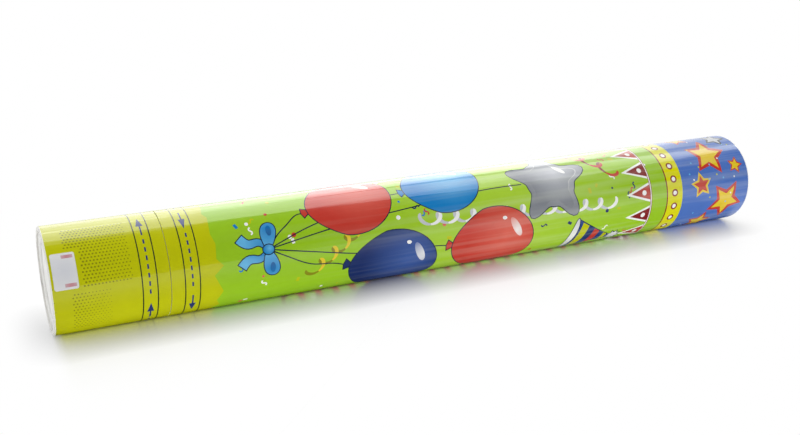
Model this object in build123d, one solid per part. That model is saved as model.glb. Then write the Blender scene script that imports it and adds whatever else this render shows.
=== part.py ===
from build123d import *
import os
from math import acos, cos, degrees, floor, radians, sin, sqrt

# A twist-release confetti popper, lying on its side. Sizes are in millimetres.
# Every piece is drawn about the X axis, with x = 0 at the grip's end face and the muzzle at the far
# end, and is moved into the resting frame when it is written: the origin is then on the ground
# under the middle of the tube.

# Card tubes
overall_length = 400.0
tube_od = 51.0
tube_wall = 2.0
grip_length = 52.5
turning_line = 0.2
rim_bevel = 0.5
turning_edge_bevel = 0.3

# Clearances
glue_gap = 0.05
running_gap = 0.06
seal_gap = 0.02
free_gap = 0.3
slot_gap = 0.15
end_play = 0.15

# End cap in the grip's open end
cap_recess = 0.8
cap_wall = 1.6
cap_skirt = 9.0
cap_land = 5.0
cap_dish = 0.8
cap_rib_count = 6
cap_rib_height = 3.0
cap_edge_bevel = 0.5

# Felt pad between the end cap and the can
pad_thickness = 3.0
pad_bore = 18.0

# Air cylinder, a drawn can with a domed foot and a beaded neck
can_wall = 0.7
can_body = 72.0
foot_bevel = 2.5
foot_land = 1.0
dome_rise = 5.0
neck_length = 7.0
bead_width = 2.4
bead_rise = 1.2

# Rubber plug through which the can is filled
fill_bore = 5.0
fill_flange = 1.8
fill_flange_thickness = 1.2

# Grip core, which holds the can and runs as a spigot in the barrel's bush
core_wall = 2.1
core_in_grip = 26.0
bush_wall = 2.2
bush_length = 21.0
spigot_tail = 2.5
spigot_ring_section = 1.2
spigot_ring_place = 12.0
retainer_width = 1.6
retainer_depth = 1.1
retainer_overhang = 1.4
retainer_opening = 8.0

# Valve seat, gasket and crimped ferrule on the can's neck
valve_bore = 12.0
seat_wall = 3.2
seat_depth = 9.0
seat_flange = 2.0
seat_lead = 0.6
gasket_thickness = 0.8
ferrule_wall = 0.5
ferrule_lip = 1.5

# Release plug with its rubber ring and cross pin
plug_gap = 0.2
plug_nose = 9.0
plug_tip = 1.0
plug_ring_section = 1.6
plug_ring_place = 4.0
stem_diameter = 7.0
crosshead_thickness = 6.0
crosshead_width = 10.0
crosshead_lift = 2.5
pin_diameter = 3.0
pin_end_bevel = 0.4
pin_inset = 0.3

# Cam motion: how far the grip turns and how far that draws the plug
twist_angle = 90.0
plug_travel = 9.0
collar_wall = 2.4
collar_end_wall = 2.5

# Valve cage, glued in the barrel
guide_wall = 1.6
guide_lift = 1.5
web_thickness = 3.0
cage_ring_wall = 1.8
cage_ring_back = 8.0
cage_ring_front = 8.0
gusset_count = 6
gusset_thickness = 1.6

# Pusher wad, paper slips and muzzle cover
wad_face = 2.5
wad_skirt = 9.0
wad_wall = 1.4
slip_length = 62.0
slip_width = 13.4
stack_height = 6.2
slip_colours = ["red", "yellow", "blue", "green", "silver"]
cover_recess = 9.0
cover_face = 1.0
cover_skirt = 5.0
cover_wall = 0.8

# Radii, from the card tube inwards to the can
tube_r = tube_od / 2
bore_r = tube_r - tube_wall
glued_r = bore_r - glue_gap
bush_bore_r = glued_r - bush_wall
spigot_r = bush_bore_r - running_gap
core_bore_r = spigot_r - core_wall
can_r = core_bore_r - glue_gap
cap_skirt_bore_r = glued_r - cap_wall

# Radii, from the valve outwards to the cam collar
plug_r = valve_bore / 2 - plug_gap
seat_r = valve_bore / 2 + seat_wall
neck_bore_r = seat_r + glue_gap
neck_r = neck_bore_r + can_wall
bead_r = neck_r + bead_rise
ferrule_bore_r = bead_r + glue_gap
guide_r = ferrule_bore_r + ferrule_wall
guide_bore_r = guide_r - guide_wall
crosshead_r = guide_bore_r - running_gap
collar_bore_r = guide_r + free_gap
collar_r = collar_bore_r + collar_wall
pin_r = pin_diameter / 2
shoulder_r = can_r - neck_r

# Places along the axis, from the grip's end to the muzzle
grip_end = grip_length - turning_line / 2
barrel_start = grip_length + turning_line / 2
cap_back = cap_recess + cap_dish + cap_wall
can_start = cap_back + pad_thickness
shoulder_start = can_start + can_body
shoulder_end = shoulder_start + shoulder_r
neck_end = shoulder_end + neck_length
gasket_end = neck_end + gasket_thickness
seat_end = gasket_end + seat_flange
ferrule_end = seat_end + ferrule_wall
ferrule_start = neck_end - bead_width - ferrule_wall
guide_start = ferrule_end + guide_lift
crosshead_start = ferrule_end + crosshead_lift
crosshead_end = crosshead_start + crosshead_thickness
pin_place = (crosshead_start + crosshead_end) / 2
slot_start = pin_place - pin_r - slot_gap
slot_end = pin_place + plug_travel + pin_r + slot_gap
collar_end = slot_end + collar_end_wall
web_start = collar_end + free_gap
web_end = web_start + web_thickness
cage_end = web_end + cage_ring_front
wad_start = cage_end + free_gap
wad_end = wad_start + wad_skirt + wad_face
bush_end = barrel_start + bush_length
retainer_start = bush_end + end_play
retainer_end = retainer_start + retainer_width
spigot_end = retainer_end + end_play + spigot_tail
cover_front = overall_length - cover_recess
cover_back = cover_front - cover_face


def turned(outline):
    return revolve(make_face(outline), Axis.X)


def hoop(x_start, x_end, inner, outer):
    corners = [(x_start, inner), (x_end, inner), (x_end, outer), (x_start, outer)]
    return turned(Polyline(*corners, close=True))


def rubber_ring(x_middle, outer, section):
    # A ring cut square from a rubber sleeve
    return hoop(x_middle - section / 2, x_middle + section / 2, outer - section, outer)


def card_tube(x_start, x_end, start_bevel, end_bevel):
    return turned(
        Polyline(
            (x_start, bore_r),
            (x_end, bore_r),
            (x_end, tube_r - end_bevel),
            (x_end - end_bevel, tube_r),
            (x_start + start_bevel, tube_r),
            (x_start, tube_r - start_bevel),
            close=True,
        )
    )


def around_axis(shape, count):
    return [Rot(360 / count * step, 0, 0) * shape for step in range(count)]


def make_end_cap():
    land_r = glued_r - cap_land
    skirt_end = cap_recess + cap_wall + cap_skirt
    face = Polyline(
        (cap_recess + cap_dish, 0),
        (cap_recess + cap_dish, land_r),
        (cap_recess + cap_edge_bevel, land_r),
        (cap_recess, land_r + cap_edge_bevel),
        (cap_recess, glued_r - cap_edge_bevel),
        (cap_recess + cap_edge_bevel, glued_r),
        (skirt_end, glued_r),
        (skirt_end, cap_skirt_bore_r),
        (cap_recess + cap_wall, cap_skirt_bore_r),
        (cap_recess + cap_wall, land_r + cap_wall),
        (cap_back, land_r + cap_wall),
        (cap_back, 0),
        close=True,
    )
    cap = turned(face)
    rib_inner = land_r + cap_wall / 2
    rib_span = cap_skirt_bore_r + cap_wall / 2 - rib_inner
    rib = Pos(cap_recess + cap_wall + cap_rib_height / 2, rib_inner + rib_span / 2, 0)
    rib = rib * Box(cap_rib_height, rib_span, cap_wall)
    keep_clear = hoop(cap_back, skirt_end, 0, can_r + free_gap)
    ribs = [one - keep_clear for one in around_axis(rib, cap_rib_count)]
    return cap + ribs


def make_base_pad():
    return hoop(cap_back, can_start, pad_bore / 2, can_r - foot_bevel)


def can_outside():
    # Half of the can's section, from the top of its domed foot round to the neck's mouth
    dome_middle = can_start + dome_rise - dome_radius()
    dome_angle = acos((can_start - dome_middle) / dome_radius())
    outline = CenterArc((dome_middle, 0), dome_radius(), 0, degrees(dome_angle))
    outline += Line((can_start, dome_radius() * sin(dome_angle)), (can_start, can_r - foot_bevel))
    outline += Line((can_start, can_r - foot_bevel), (can_start + foot_bevel, can_r))
    outline += Line((can_start + foot_bevel, can_r), (shoulder_start, can_r))
    outline += CenterArc((shoulder_start, neck_r), shoulder_r, 0, 90)
    outline += Polyline((shoulder_end, neck_r), (neck_end, neck_r), (neck_end, 0), (can_start + dome_rise, 0))
    return outline


def can_air_space():
    # The foot and the shoulder are thicker than the wall, so the space goes straight across them.
    dome_middle = can_start + dome_rise - dome_radius()
    dome_r = dome_radius() + can_wall
    floor_face = can_start + can_wall
    dome_angle = acos((floor_face - dome_middle) / dome_r)
    outline = CenterArc((dome_middle, 0), dome_r, 0, degrees(dome_angle))
    outline += Polyline(
        (floor_face, dome_r * sin(dome_angle)),
        (floor_face, can_r - foot_bevel),
        (can_start + foot_bevel, can_r - can_wall),
        (shoulder_start, can_r - can_wall),
        (shoulder_end - can_wall, neck_bore_r),
        (neck_end, neck_bore_r),
        (neck_end, 0),
        (dome_middle + dome_r, 0),
    )
    return outline


def dome_radius():
    dome_rim_r = can_r - foot_bevel - foot_land
    return (dome_rim_r**2 + dome_rise**2) / (2 * dome_rise)


def make_air_cylinder():
    bead = hoop(neck_end - bead_width, neck_end, neck_bore_r, bead_r)
    fill_hole = hoop(can_start, can_start + 2 * dome_rise, 0, fill_bore / 2)
    return turned(can_outside()) + bead - turned(can_air_space()) - fill_hole


def make_fill_plug():
    stem_r = fill_bore / 2 - seal_gap
    flange_r = stem_r + fill_flange
    dome_drop = dome_radius() - sqrt(dome_radius() ** 2 - flange_r**2)
    outer_seat = can_start + dome_rise - dome_drop - seal_gap
    inner_seat = can_start + dome_rise + can_wall + seal_gap
    return turned(
        Polyline(
            (outer_seat - fill_flange_thickness, 0),
            (outer_seat - fill_flange_thickness, flange_r),
            (outer_seat, flange_r),
            (outer_seat, stem_r),
            (inner_seat, stem_r),
            (inner_seat, flange_r),
            (inner_seat + fill_flange_thickness, stem_r),
            (inner_seat + fill_flange_thickness, 0),
            close=True,
        )
    )


def make_grip_core():
    core_start = grip_end - core_in_grip
    sleeve = hoop(core_start, grip_end, core_bore_r, glued_r)
    spigot = hoop(grip_end, spigot_end, core_bore_r, spigot_r)
    ring_floor = bush_bore_r - spigot_ring_section - 2 * seal_gap
    ring_half = spigot_ring_section / 2 + seal_gap
    ring_middle = barrel_start + spigot_ring_place
    ring_groove = hoop(ring_middle - ring_half, ring_middle + ring_half, ring_floor, glued_r)
    clip_groove = hoop(
        retainer_start - end_play, retainer_end + end_play, spigot_r - retainer_depth, glued_r
    )
    return sleeve + spigot - ring_groove - clip_groove


def make_spigot_ring():
    return rubber_ring(barrel_start + spigot_ring_place, bush_bore_r - seal_gap, spigot_ring_section)


def make_retaining_ring():
    inner = spigot_r - retainer_depth + seal_gap
    outer = spigot_r + retainer_overhang
    ring = hoop(retainer_start, retainer_end, inner, outer)
    opening = Pos(retainer_start, 0, spigot_r) * Box(3 * retainer_width, retainer_opening, spigot_r)
    return ring - opening


def make_barrel_bush():
    return hoop(barrel_start, bush_end, bush_bore_r, glued_r)


def make_valve_seat():
    return turned(
        Polyline(
            (neck_end - seat_depth, valve_bore / 2),
            (seat_end - seat_lead, valve_bore / 2),
            (seat_end, valve_bore / 2 + seat_lead),
            (seat_end, bead_r),
            (gasket_end, bead_r),
            (gasket_end, seat_r),
            (neck_end - seat_depth, seat_r),
            close=True,
        )
    )


def make_neck_gasket():
    return hoop(neck_end, gasket_end, neck_bore_r, bead_r)


def make_crimp_ferrule():
    return turned(
        Polyline(
            (ferrule_start, neck_r + glue_gap),
            (neck_end - bead_width, neck_r + glue_gap),
            (neck_end - bead_width, ferrule_bore_r),
            (seat_end, ferrule_bore_r),
            (seat_end, bead_r - ferrule_lip),
            (ferrule_end, bead_r - ferrule_lip),
            (ferrule_end, guide_r),
            (ferrule_start, guide_r),
            close=True,
        )
    )


def helical_slot(pin_angle):
    # The slot's flanks stay square to the axis, so it is widest across at the collar's outside and
    # is sized where it is narrowest, at the collar's bore.
    lead = plug_travel / radians(twist_angle)
    width = pin_diameter + 2 * slot_gap
    half_angle = width * sqrt(collar_bore_r**2 + lead**2) / (collar_bore_r * lead) / 2
    start_angle = radians(pin_angle) - (pin_place - slot_start) / lead
    inner = guide_bore_r
    outer = collar_r + collar_wall
    sides = [start_angle - half_angle, start_angle + half_angle]
    corners = [(inner, sides[0]), (outer, sides[0]), (outer, sides[1]), (inner, sides[1])]
    section = [(slot_start, radius * cos(angle), radius * sin(angle)) for radius, angle in corners]
    length = slot_end - slot_start
    return Solid.extrude_linear_with_rotation(
        Wire.make_polygon(section),
        center=(slot_start, 0, 0),
        normal=(length, 0, 0),
        angle=degrees(length / lead),
    )


def make_cam_collar():
    collar = turned(
        Polyline(
            (shoulder_end + glue_gap, neck_r + glue_gap),
            (ferrule_start - glue_gap, neck_r + glue_gap),
            (ferrule_start - glue_gap, collar_bore_r),
            (collar_end, collar_bore_r),
            (collar_end, collar_r),
            (shoulder_end + glue_gap, collar_r),
            close=True,
        )
    )
    return collar - helical_slot(0) - helical_slot(180)


def make_valve_cage():
    guide = hoop(guide_start, web_start, guide_bore_r, guide_r)
    web = hoop(web_start, web_end, guide_bore_r, glued_r)
    ring = hoop(web_start - cage_ring_back, cage_end, glued_r - cage_ring_wall, glued_r)
    gusset_outline = Polyline(
        (web_end, guide_bore_r),
        (web_end, glued_r - cage_ring_wall / 2),
        (cage_end, glued_r - cage_ring_wall / 2),
        close=True,
    )
    gusset = extrude(make_face(gusset_outline), gusset_thickness / 2, both=True)
    slot_middle = pin_place + plug_travel / 2
    slot_width = pin_diameter + 2 * slot_gap
    slots = Plane.XZ * Pos(slot_middle, 0) * SlotCenterToCenter(plug_travel, slot_width)
    return guide + web + ring + around_axis(gusset, gusset_count) - extrude(slots, guide_r, both=True)


def make_release_plug():
    ring_middle = seat_end - plug_ring_place
    ring_half = plug_ring_section / 2 + seal_gap
    ring_floor = valve_bore / 2 - plug_ring_section - 2 * seal_gap
    stem_r = stem_diameter / 2
    body = turned(
        Polyline(
            (seat_end - plug_nose, 0),
            (seat_end - plug_nose, plug_r - plug_tip),
            (seat_end - plug_nose + plug_tip, plug_r),
            (ring_middle - ring_half, plug_r),
            (ring_middle - ring_half, ring_floor),
            (ring_middle + ring_half, ring_floor),
            (ring_middle + ring_half, plug_r),
            (seat_end, plug_r),
            (crosshead_start, stem_r),
            (crosshead_start, 0),
            close=True,
        )
    )
    disc = hoop(crosshead_start, crosshead_end, 0, crosshead_r)
    bar = Pos(pin_place, 0, 0) * Box(crosshead_thickness, 2 * crosshead_r, crosshead_width)
    pin_hole = Pos(pin_place, 0, 0) * Rot(90, 0, 0) * Cylinder(pin_r + seal_gap, 2 * collar_r)
    return body + (disc & bar) - pin_hole


def make_plug_ring():
    return rubber_ring(seat_end - plug_ring_place, valve_bore / 2 - seal_gap, plug_ring_section)


def make_cross_pin():
    pin = Cylinder(pin_r, 2 * (collar_r - pin_inset))
    pin = chamfer(pin.edges().filter_by(GeomType.CIRCLE), pin_end_bevel)
    return Pos(pin_place, 0, 0) * Rot(90, 0, 0) * pin


def make_pusher_wad():
    wad_r = bore_r - free_gap
    return turned(
        Polyline(
            (wad_start + wad_skirt, 0),
            (wad_start + wad_skirt, wad_r - wad_wall),
            (wad_start, wad_r - wad_wall),
            (wad_start, wad_r),
            (wad_end, wad_r),
            (wad_end, 0),
            close=True,
        )
    )


def slip_stacks():
    # Slips lie along the barrel in rows that fill its round bore, one layer behind another.
    pack_r = bore_r - free_gap
    row_step = stack_height + free_gap
    column_step = slip_width + free_gap
    layer_step = slip_length + free_gap
    layers = floor((cover_back - wad_end) / layer_step)
    outer_row = floor((pack_r - stack_height / 2) / row_step)
    stacks = []
    for layer in range(layers):
        x_middle = wad_end + free_gap + layer * layer_step + slip_length / 2
        for row in range(-outer_row, outer_row + 1):
            z_middle = row * row_step
            row_top = abs(z_middle) + stack_height / 2
            columns = floor((2 * sqrt(pack_r**2 - row_top**2) + free_gap) / column_step)
            for column in range(columns):
                y_middle = (column - (columns - 1) / 2) * column_step
                stack = Pos(x_middle, y_middle, z_middle) * Box(slip_length, slip_width, stack_height)
                stacks.append(stack)
    return stacks


def make_muzzle_cover():
    cover_r = bore_r - running_gap
    return turned(
        Polyline(
            (cover_back, 0),
            (cover_back, cover_r),
            (cover_front + cover_skirt, cover_r),
            (cover_front + cover_skirt, cover_r - cover_wall),
            (cover_front, cover_r - cover_wall),
            (cover_front, 0),
            close=True,
        )
    )


pieces = {
    "grip_tube": card_tube(0, grip_end, rim_bevel, turning_edge_bevel),
    "barrel_tube": card_tube(barrel_start, overall_length, turning_edge_bevel, rim_bevel),
    "end_cap": make_end_cap(),
    "base_pad": make_base_pad(),
    "air_cylinder": make_air_cylinder(),
    "fill_plug": make_fill_plug(),
    "grip_core": make_grip_core(),
    "spigot_ring": make_spigot_ring(),
    "retaining_ring": make_retaining_ring(),
    "barrel_bush": make_barrel_bush(),
    "valve_seat": make_valve_seat(),
    "neck_gasket": make_neck_gasket(),
    "crimp_ferrule": make_crimp_ferrule(),
    "cam_collar": make_cam_collar(),
    "valve_cage": make_valve_cage(),
    "release_plug": make_release_plug(),
    "plug_ring": make_plug_ring(),
    "cross_pin": make_cross_pin(),
    "pusher_wad": make_pusher_wad(),
    "muzzle_cover": make_muzzle_cover(),
}
all_stacks = slip_stacks()
for index, colour in enumerate(slip_colours):
    pieces["confetti_" + colour] = Compound(all_stacks[index :: len(slip_colours)])

to_rest = Pos(-overall_length / 2, 0, tube_r)
os.makedirs("parts", exist_ok=True)
for name, piece in pieces.items():
    export_step(to_rest * piece, "parts/" + name + ".step")
print(len(pieces), "pieces written")
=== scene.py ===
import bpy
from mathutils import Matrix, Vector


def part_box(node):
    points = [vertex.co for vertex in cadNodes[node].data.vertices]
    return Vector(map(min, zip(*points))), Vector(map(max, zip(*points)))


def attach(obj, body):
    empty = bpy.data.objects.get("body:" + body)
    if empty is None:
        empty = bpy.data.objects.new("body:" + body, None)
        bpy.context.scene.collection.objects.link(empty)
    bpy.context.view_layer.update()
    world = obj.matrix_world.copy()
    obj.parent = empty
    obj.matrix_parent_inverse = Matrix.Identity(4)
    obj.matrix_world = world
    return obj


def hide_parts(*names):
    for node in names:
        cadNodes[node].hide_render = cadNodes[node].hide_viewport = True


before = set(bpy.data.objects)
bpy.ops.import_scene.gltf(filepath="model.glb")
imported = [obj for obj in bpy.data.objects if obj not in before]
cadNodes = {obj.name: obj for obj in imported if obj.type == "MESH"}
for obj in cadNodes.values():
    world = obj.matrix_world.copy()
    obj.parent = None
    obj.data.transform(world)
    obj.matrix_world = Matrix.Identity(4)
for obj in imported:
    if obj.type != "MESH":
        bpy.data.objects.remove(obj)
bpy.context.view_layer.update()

import math

import bmesh
import bpy
import numpy as np
from mathutils import Vector
from mathutils.geometry import delaunay_2d_cdt

scene = bpy.context.scene
mm = 0.001
print("frame loaded:", len(cadNodes), "nodes")

# camera

photoCamera = dict(
    place=(-0.2360, -0.4575, 0.2009), turn=(71.38, 0.0, -25.35), lens=45.27, sensor=36.0, clip=(0.01, 60.0),
)
cameraData = bpy.data.cameras.new("photoCamera")
cameraData.lens = photoCamera["lens"]
cameraData.sensor_width = photoCamera["sensor"]
cameraData.clip_start, cameraData.clip_end = photoCamera["clip"]
camera = bpy.data.objects.new("photoCamera", cameraData)
camera.location = photoCamera["place"]
camera.rotation_euler = [math.radians(a) for a in photoCamera["turn"]]
scene.collection.objects.link(camera)
scene.camera = camera
print("camera placed")

# node helpers


def toLinear(rgb):
    c = np.asarray(rgb, float) / 255.0
    return np.where(c <= 0.04045, c / 12.92, ((c + 0.055) / 1.055) ** 2.4)


def rgba(rgb):
    return (*toLinear(rgb).tolist(), 1.0)


def addNode(tree, kind, **settings):
    node = tree.nodes.new(kind)
    for key, value in settings.items():
        setattr(node, key, value)
    return node


# plain values are set on their sockets, and outputs are wired to them
def feed(tree, node, values):
    for name, value in values.items():
        if isinstance(value, (int, float, tuple, str)):
            node.inputs[name].default_value = value
        else:
            tree.links.new(value, node.inputs[name])


def mathNode(tree, operation, *inputs):
    node = addNode(tree, "ShaderNodeMath", operation=operation)
    feed(tree, node, dict(enumerate(inputs)))
    return node.outputs[0]


def times(tree, first, second):
    return mathNode(tree, "MULTIPLY", first, second)


def weighed(tree, first, second, share=0.6):
    return mathNode(tree, "ADD", times(tree, first, share), times(tree, second, 1.0 - share))


def hypotenuse(tree, *sides):
    squares = [mathNode(tree, "POWER", side, 2.0) for side in sides]
    return mathNode(tree, "SQRT", mathNode(tree, "ADD", *squares))


def split(tree, vector):
    node = addNode(tree, "ShaderNodeSeparateXYZ")
    feed(tree, node, {0: vector})
    return [node.outputs[axis] for axis in "XYZ"]


def combine(tree, **axes):
    node = addNode(tree, "ShaderNodeCombineXYZ")
    feed(tree, node, {axis.upper(): value for axis, value in axes.items()})
    return node.outputs[0]


def objectPlace(tree, stretch=(1, 1, 1)):
    node = addNode(tree, "ShaderNodeMapping")
    feed(tree, node, {"Scale": stretch, "Vector": addNode(tree, "ShaderNodeTexCoord").outputs["Object"]})
    return node.outputs["Vector"]


def noise(tree, scale, stretch=(1, 1, 1), detail=3.0, rough=0.55):
    node = addNode(tree, "ShaderNodeTexNoise")
    place = objectPlace(tree, stretch)
    feed(tree, node, {"Scale": scale, "Detail": detail, "Roughness": rough, "Vector": place})
    return node.outputs["Fac"]


def spread(tree, value, low, high, fromLow=0.0, fromHigh=1.0):
    node = addNode(tree, "ShaderNodeMapRange")
    ends = {"From Min": fromLow, "From Max": fromHigh, "To Min": low, "To Max": high}
    feed(tree, node, ends | {"Value": value})
    return node.outputs["Result"]


def mixInk(tree, factor, first, second, how="MIX"):
    node = addNode(tree, "ShaderNodeMix", data_type="RGBA", blend_type=how)
    feed(tree, node, {0: factor, 6: first, 7: second})
    return node.outputs[2]


def greyInk(tree, value):
    node = addNode(tree, "ShaderNodeCombineColor")
    feed(tree, node, {channel: value for channel in range(3)})
    return node.outputs[0]


def tonedInk(tree, tone):
    ink = addNode(tree, "ShaderNodeAttribute", attribute_name="ink")
    return mixInk(tree, 1.0, ink.outputs["Color"], greyInk(tree, tone), "MULTIPLY")


def bumpFrom(tree, height, strength, distance):
    node = addNode(tree, "ShaderNodeBump")
    feed(tree, node, {"Strength": strength, "Distance": distance, "Height": height})
    return node.outputs["Normal"]


def newFinish(name):
    material = bpy.data.materials.new(name)
    material.use_nodes = True
    return material, material.node_tree, material.node_tree.nodes["Principled BSDF"]


# printed card

tube = dict(radius=25.5, wall=2.0, length=400.0, columns=120, seamAngle=-90.0, rowStep=6.0, boreSteps=12)
turnLength = 2 * math.pi * tube["radius"]
seamLow = math.radians(tube["seamAngle"]) * tube["radius"]
seamHigh = seamLow + turnLength

inks = dict(
    yellow=(190, 193, 0), brightYellow=(216, 213, 0), gold=(226, 196, 40), olive=(134, 134, 10),
    green=(150, 195, 30), paleGreen=(170, 208, 58), blue=(76, 114, 190), navy=(24, 44, 100),
    paleNavy=(58, 90, 160), sky=(20, 124, 192), paleSky=(100, 180, 226), red=(194, 58, 46),
    paleRed=(218, 100, 84), maroon=(132, 28, 34), grey=(132, 136, 143), paleGrey=(194, 197, 203),
    white=(240, 240, 238), line=(30, 38, 60), bandLine=(40, 54, 36), arrow=(42, 56, 116),
    paper=(240, 239, 235), board=(196, 188, 174), fleck=(92, 88, 78), label=(214, 216, 222),
    labelMark=(196, 120, 128),
)
laminateLook = dict(
    cloudScale=240.0, cloud=(0.95, 1.05), roughScale=90.0, roughStretch=(0.12, 1, 1), rough=(0.26, 0.38),
    # the pale streak settings below paint a reflection of the rippled film into the print's colour
    reflectionStreakScale=230.0, reflectionStreakStretch=(0.035, 1, 1), reflectionStreakCut=(0.42, 0.72), reflectionStreakStrength=0.20, reflectionStreakTone=(226, 230, 214),
    reflectionStreakAlong=(-0.13, 0.10), rippleScale=60.0, rippleStretch=(0.05, 1, 1), ripple=0.10, rippleDepth=0.0035,
    coat=0.68, coatRough=0.05, coatDepth=0.0030, specular=0.12,
)
boardLook = dict(
    plyPitch=0.00034, plyTone=(0.9, 1.02), winding=0.031, jointSharp=40.0, jointTone=0.25,
    fibre=1500.0, fibreStretch=(0.3, 1, 1), fibreTone=(0.82, 1.12), rough=(0.72, 0.92),
    bump=0.4, bumpDepth=0.0002, specular=0.3,
)


def laminateFinish():
    look = laminateLook
    material, tree, shader = newFinish("laminatedPrint")
    printed = tonedInk(tree, spread(tree, noise(tree, look["cloudScale"], detail=4.0), *look["cloud"]))
    # painted reflection: pale streaks along the tube, the way a rippled film reflects, are mixed into the
    # print's colour, with more of them towards the muzzle
    reflectionStreaks = noise(tree, look["reflectionStreakScale"], look["reflectionStreakStretch"], detail=2.0)
    reflectionStreaks = spread(tree, reflectionStreaks, 0.0, look["reflectionStreakStrength"], *look["reflectionStreakCut"])
    streaksTowardsMuzzle = spread(tree, split(tree, objectPlace(tree))[0], 0.0, 1.0, *look["reflectionStreakAlong"])
    paintedReflection = times(tree, reflectionStreaks, streaksTowardsMuzzle)
    ripple = noise(tree, look["rippleScale"], look["rippleStretch"])
    feed(tree, shader, {
        "Base Color": mixInk(tree, paintedReflection, printed, rgba(look["reflectionStreakTone"])),
        "Roughness": spread(tree, noise(tree, look["roughScale"], look["roughStretch"]), *look["rough"]),
        "Normal": bumpFrom(tree, ripple, look["ripple"], look["rippleDepth"]),
        "Coat Normal": bumpFrom(tree, ripple, look["ripple"], look["coatDepth"]),
        "Coat Weight": look["coat"], "Coat Roughness": look["coatRough"],
        "Specular IOR Level": look["specular"],
    })
    return material


def boardFinish():
    look = boardLook
    material, tree, shader = newFinish("woundBoard")
    x, y, z = split(tree, objectPlace(tree))
    up = mathNode(tree, "SUBTRACT", z, tube["radius"] * mm)
    plies = mathNode(tree, "DIVIDE", hypotenuse(tree, y, up), look["plyPitch"])
    plies = spread(tree, mathNode(tree, "PINGPONG", plies, 1.0), *look["plyTone"])
    # strips of board are wound in a helix, with a dark line where their edges meet
    turns = mathNode(tree, "DIVIDE", mathNode(tree, "ARCTAN2", up, y), 2 * math.pi)
    strip = mathNode(tree, "ADD", mathNode(tree, "DIVIDE", x, look["winding"]), turns)
    edge = times(tree, mathNode(tree, "PINGPONG", strip, 0.5), 2.0)
    joint = mathNode(tree, "POWER", edge, look["jointSharp"])
    fibres = noise(tree, look["fibre"], look["fibreStretch"], detail=5.0, rough=0.7)
    tone = times(tree, spread(tree, fibres, *look["fibreTone"]), plies)
    tone = mathNode(tree, "SUBTRACT", tone, times(tree, joint, look["jointTone"]))
    feed(tree, shader, {
        "Base Color": tonedInk(tree, tone),
        "Roughness": spread(tree, fibres, *look["rough"]),
        "Normal": bumpFrom(tree, tone, look["bump"], look["bumpDepth"]),
        "Specular IOR Level": look["specular"],
    })
    return material


laminate = laminateFinish()
woundBoard = boardFinish()

# flat drawing: every shape is a closed loop in millimetres, s along the tube and u round it

pen = dict(outline=0.5, string=0.6)


def atAngle(degrees):
    return math.radians(degrees) * tube["radius"]


def unit(vectors):
    return vectors / np.maximum(np.linalg.norm(vectors, axis=1), 1e-9)[:, None]


def wholeTurn(steps):
    return np.linspace(0, 2 * math.pi, steps, endpoint=False)


def placed(points, centre, turn=0.0, size=1.0):
    a = math.radians(turn)
    spin = np.array([[math.cos(a), math.sin(a)], [-math.sin(a), math.cos(a)]])
    return (np.asarray(points, float) * size) @ spin + np.asarray(centre, float)


def polar(centre, t, along, across, turn):
    return placed(np.stack([along * np.cos(t), across * np.sin(t)], 1), centre, turn)


def ellipse(centre, radii, steps, turn=0.0):
    return polar(centre, wholeTurn(steps), *radii, turn)


def star(centre, outer, inner, points=5, turn=0.0):
    r = np.tile((outer, inner), points)
    return polar(centre, wholeTurn(points * 2), r, r, turn)


def puffyStar(centre, outer, turn, points=5):
    t = wholeTurn(80)
    r = outer * (0.74 + 0.20 * np.cos(points * t) + 0.06 * np.cos(2 * points * t))
    return polar(centre, t, r, r, turn)


def oblong(sLow, sHigh, uLow, uHigh):
    return np.array([(sLow, uLow), (sHigh, uLow), (sHigh, uHigh), (sLow, uHigh)])


def hoop(start, end):
    return oblong(start, end, seamLow, seamHigh)


def grown(loop, by):
    ahead, behind = unit(np.roll(loop, -1, 0) - loop), unit(loop - np.roll(loop, 1, 0))
    out = np.stack([ahead[:, 1] + behind[:, 1], -ahead[:, 0] - behind[:, 0]], 1)
    out = out / np.maximum(np.sum(out * out, 1), 0.9)[:, None] * 2.0
    area = np.sum(loop[:, 0] * np.roll(loop[:, 1], -1) - loop[:, 1] * np.roll(loop[:, 0], -1))
    return loop + out * (by if area > 0 else -by)


def ribbon(path, width):
    along = unit(np.gradient(path, axis=0))
    side = np.stack([-along[:, 1], along[:, 0]], 1) * (np.asarray(width, float) / 2.0).reshape(-1, 1)
    return np.vstack([path + side, (path - side)[::-1]])


def upToEdge(edge, s, u):
    return np.vstack([[(edge, seamHigh), (edge, seamLow)], np.stack([s, u], 1)])


def sheetEnds(look):
    ends = [round(corner.x / mm + tube["length"] / 2, 3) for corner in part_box(look["node"])]
    return ends[0] + look["bevels"][0], ends[1] - look["bevels"][1], *ends


class Drawing:
    def __init__(self, ground):
        self.ground, self.shapes = ground, []

    # ink fades to the rim's ink at this reach from the centre
    def lay(self, loop, ink, rim=None, centre=None, reach=1.0):
        loop = np.asarray(loop, float)
        middle = loop.mean(0) if centre is None else np.asarray(centre, float)
        self.shapes.append((loop, toLinear(inks[ink]), toLinear(inks[rim or ink]), middle, reach))

    def outlined(self, loop, *inking):
        self.lay(grown(loop, pen["outline"]), "line")
        self.lay(loop, *inking)

    def dot(self, centre, radius, ink, steps):
        self.lay(ellipse(centre, (radius, radius), steps), ink)

    def rule(self, s, width, ink):
        self.lay(hoop(s - width / 2, s + width / 2), ink)


def raggedMargin(d, edge, depth, roughness, seed, steps=130):
    u = np.linspace(seamLow, seamHigh, steps)
    s = edge + depth + roughness * np.random.default_rng(seed).normal(0, 1, steps).cumsum() * 0.18
    s = np.clip(s - np.linspace(s[0], s[-1], steps), -abs(depth) * 0.85, roughness * 2.2)
    d.lay(upToEdge(edge, edge + depth + s, u), "paper")


# ruled hoops with arrows and dashes between them, which show the way to turn

turnSign = dict(shaft=0.37, barb=1.65, head=6.2, dash=0.4, dashStart=0.22, dashShare=0.56, clear=1.5)


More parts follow.
